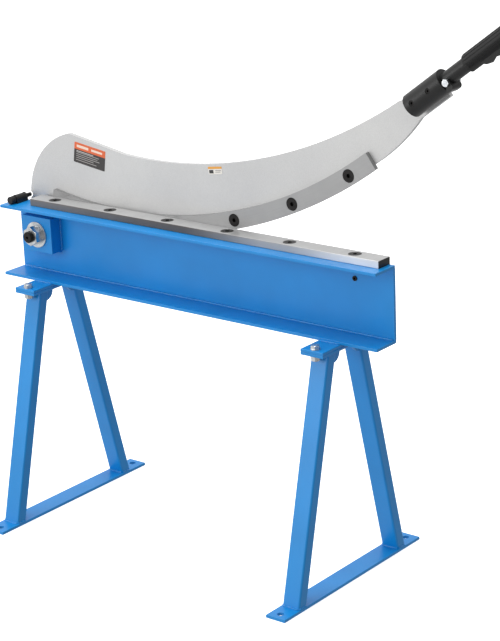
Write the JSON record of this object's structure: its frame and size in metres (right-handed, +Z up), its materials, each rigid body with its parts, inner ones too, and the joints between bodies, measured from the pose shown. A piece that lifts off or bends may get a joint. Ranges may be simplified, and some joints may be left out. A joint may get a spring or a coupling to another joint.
{
  "type": "hand lever sheet metal shear",
  "caption": "Long hand lever shear for sheet metal: a curved knife on a swinging arm cuts past a straight blade on a beam, which stands on two splayed trestles.",
  "frame": {"origin": "on the floor, midway between the four holes of the foot bars, under the middle of the beam", "axes": "+X along the beam from the arm's pivot to the handle end, +Y away from the operator, +Z up"},
  "size_m": [1.3209, 0.456, 1.1968],
  "materials": {
    "blue_paint": "satin powder coat",
    "arm_paint": "fine metallic grey paint",
    "knife_steel": "ground",
    "ground_steel": "surface ground",
    "zinc": "bright zinc plated",
    "black_oxide": "black oxide",
    "bronze": "plain turned bronze",
    "black_paint": "satin black paint",
    "grip_rubber": "moulded, fine ribs",
    "black_plastic": "moulded",
    "spring_steel": "drawn wire",
    "label": "printed film"
  },
  "bodies": {
    "stand": {"top_flange": "blue_paint", "bottom_flange": "blue_paint", "beam_web": "blue_paint", "pivot_block": "blue_paint", "lower_blade": "ground_steel", "blade_screws": "black_oxide", "blade_nuts": "zinc", "pivot_front_washer": "zinc", "pivot_spring_washer": "zinc", "pivot_nut": "zinc", "guide_screw": "black_oxide", "pivot_spacer": "zinc", "pivot_rear_washer": "zinc", "pivot_bolt": "black_oxide", "lock_body": "black_paint", "lock_grub_screws": "black_oxide", "lock_spring": "spring_steel", "left_beam_ear": "blue_paint", "left_top_plate": "blue_paint", "left_foot_bar": "blue_paint", "left_front_leg": "blue_paint", "left_rear_leg": "blue_paint", "left_gusset": "blue_paint", "right_beam_ear": "blue_paint", "right_top_plate": "blue_paint", "right_foot_bar": "blue_paint", "right_front_leg": "blue_paint", "right_rear_leg": "blue_paint", "right_gusset": "blue_paint", "stand_bolts": "zinc", "stand_upper_washers": "zinc", "stand_lower_washers": "zinc", "stand_nuts": "zinc"},
    "arm": {"arm_plate": "arm_paint", "arm_boss": "arm_paint", "pivot_bush": "bronze", "upper_knife": "knife_steel", "knife_screws": "black_oxide", "knife_nuts": "zinc", "handle_socket": "black_paint", "handle_saddle": "black_paint", "handle_rod": "black_paint", "socket_screws": "black_oxide", "socket_nuts": "zinc", "keeper_bolt": "zinc", "keeper_nut": "zinc", "handle_grip": "grip_rubber", "grip_cap": "grip_rubber", "rating_label": "label", "warning_label": "label"},
    "lock": {"lock_pin": "black_oxide", "lock_knob": "black_plastic"}
  },
  "joints": [
    {"name": "arm_swing", "type": "hinge", "parent": "stand", "child": "arm", "pos_m": [-0.405, 0.048, 0.59], "axis": [0, 1, 0], "range_deg": [-38, 12]},
    {"name": "lock_pull", "type": "slide", "parent": "stand", "child": "lock", "axis": [0, 1, 0], "range_m": [-0.006, 0], "stiffness_N_per_m": 800, "deforming": ["lock_spring"]}
  ]
}
